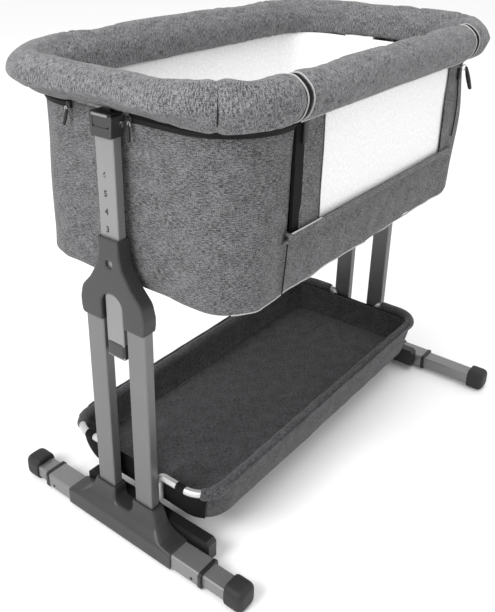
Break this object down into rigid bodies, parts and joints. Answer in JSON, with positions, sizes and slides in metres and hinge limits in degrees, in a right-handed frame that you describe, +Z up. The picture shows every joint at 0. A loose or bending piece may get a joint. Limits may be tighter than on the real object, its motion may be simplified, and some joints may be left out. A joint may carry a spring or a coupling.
{
  "type": "bassinet on stand",
  "caption": "Bedside bassinet with a fold-down mesh side on a height-adjustable stand, with feet that extend and a fabric storage basket underneath.",
  "frame": {"origin": "on the floor, under the middle of the stand", "axes": "+X along the bassinet towards the far end, +Y towards the fixed long side (the side that folds down faces -Y), +Z up"},
  "size_m": [0.91, 0.688, 0.846],
  "materials": {
    "fabric_grey": "mid-grey melange linen weave with light slubs, padded",
    "fabric_charcoal": "charcoal brushed weave",
    "lining_white": "white airy lining",
    "mesh_white": "fine white see-through mesh",
    "mattress_white": "soft white quilted cover",
    "webbing_black": "black woven tape",
    "plastic_grey": "satin dark grey moulding",
    "plastic_black": "black moulding",
    "rubber_dark": "dark matt rubber",
    "aluminium_satin": "satin anodised, grey",
    "aluminium_light": "satin anodised, light",
    "steel_tube": "light silver powder coat",
    "metal_black": "black coated metal",
    "steel_bright": "bright zinc plated",
    "board": "thin fibreboard under the fabric"
  },
  "bodies": {
    "stand": {"near_foot_tube": "aluminium_satin", "near_shoe": "plastic_grey", "near_stiffener_bar": "plastic_black", "near_collars": "plastic_black", "near_front_post": "aluminium_satin", "near_rear_post": "aluminium_satin", "near_yoke": "plastic_grey", "far_foot_tube": "aluminium_satin", "far_shoe": "plastic_grey", "far_stiffener_bar": "plastic_black", "far_collars": "plastic_black", "far_front_post": "aluminium_satin", "far_rear_post": "aluminium_satin", "far_yoke": "plastic_grey", "basket_front_tube": "steel_tube", "basket_rear_tube": "steel_tube", "basket_bolts": "steel_bright", "basket": "fabric_charcoal", "basket_floor_board": "board", "basket_tabs": "webbing_black"},
    "near_post": {"near_upper_post": "aluminium_light", "near_post_plug": "plastic_grey", "near_lock_rod": "steel_bright", "near_head": "plastic_grey", "near_pivot_pin": "steel_bright"},
    "far_post": {"far_upper_post": "aluminium_light", "far_post_plug": "plastic_grey", "far_lock_rod": "steel_bright", "far_head": "plastic_grey", "far_pivot_pin": "steel_bright"},
    "bassinet": {"rail_frame": "steel_tube", "rail_cover": "fabric_grey", "rail_joint_rings": "plastic_black", "near_rail_lug": "steel_bright", "far_rail_lug": "steel_bright", "body_shell": "fabric_grey", "inner_lining": "lining_white", "zip_tape": "webbing_black", "lower_frame_loop": "steel_tube", "base_board": "board", "mattress": "mattress_white", "side_hinge_rod": "steel_tube"},
    "drop_side": {"side_rail_tube": "steel_tube", "side_rail_cover": "fabric_grey", "side_arms": "metal_black", "side_border": "fabric_grey", "side_mesh": "mesh_white"},
    "zip_slider": {"side_zip_slider": "metal_black"},
    "near_button": {"near_release_button": "plastic_grey"},
    "far_button": {"far_release_button": "plastic_grey"},
    "near_front_foot": {"near_front_inner_tube": "aluminium_satin", "near_front_cap": "rubber_dark"},
    "near_rear_foot": {"near_rear_inner_tube": "aluminium_satin", "near_rear_cap": "rubber_dark"},
    "far_front_foot": {"far_front_inner_tube": "aluminium_satin", "far_front_cap": "rubber_dark"},
    "far_rear_foot": {"far_rear_inner_tube": "aluminium_satin", "far_rear_cap": "rubber_dark"}
  },
  "joints": [
    {"name": "height", "type": "slide", "parent": "stand", "child": "near_post", "axis": [0, 0, 1], "range_m": [-0.143, 0]},
    {"name": "tilt", "type": "hinge", "parent": "near_post", "child": "bassinet", "pos_m": [-0.406, 0, 0.762], "axis": [0, -1, 0], "range_deg": [0, 2]},
    {"name": "far_head_pivot", "type": "hinge", "parent": "bassinet", "child": "far_post", "pos_m": [0.406, 0, 0.762], "axis": [0, -1, 0], "range_deg": [-2, 0]},
    {"name": "drop_side_fold", "type": "hinge", "parent": "bassinet", "child": "drop_side", "pos_m": [0, -0.225, 0.6], "axis": [1, 0, 0], "range_deg": [0, 175]},
    {"name": "side_zip", "type": "slide", "parent": "drop_side", "child": "zip_slider", "axis": [0, 0, -1], "range_m": [0, 0.07]},
    {"name": "near_button_press", "type": "slide", "parent": "near_post", "child": "near_button", "axis": [1, 0, 0], "range_m": [0, 0.0035], "stiffness_N_per_m": 600},
    {"name": "far_button_press", "type": "slide", "parent": "far_post", "child": "far_button", "axis": [-1, 0, 0], "range_m": [0, 0.0035], "stiffness_N_per_m": 600},
    {"name": "near_front_extension", "type": "slide", "parent": "stand", "child": "near_front_foot", "axis": [0, -1, 0], "range_m": [-0.042, 0.068]},
    {"name": "near_rear_extension", "type": "slide", "parent": "stand", "child": "near_rear_foot", "axis": [0, 1, 0], "range_m": [-0.024, 0.086]},
    {"name": "far_front_extension", "type": "slide", "parent": "stand", "child": "far_front_foot", "axis": [0, -1, 0], "range_m": [-0.107, 0.003]},
    {"name": "far_rear_extension", "type": "slide", "parent": "stand", "child": "far_rear_foot", "axis": [0, 1, 0], "range_m": [-0.107, 0.003]}
  ],
  "couplings": [
    {"joint": "far_head_pivot", "follows": "tilt", "ratio": -1}
  ]
}
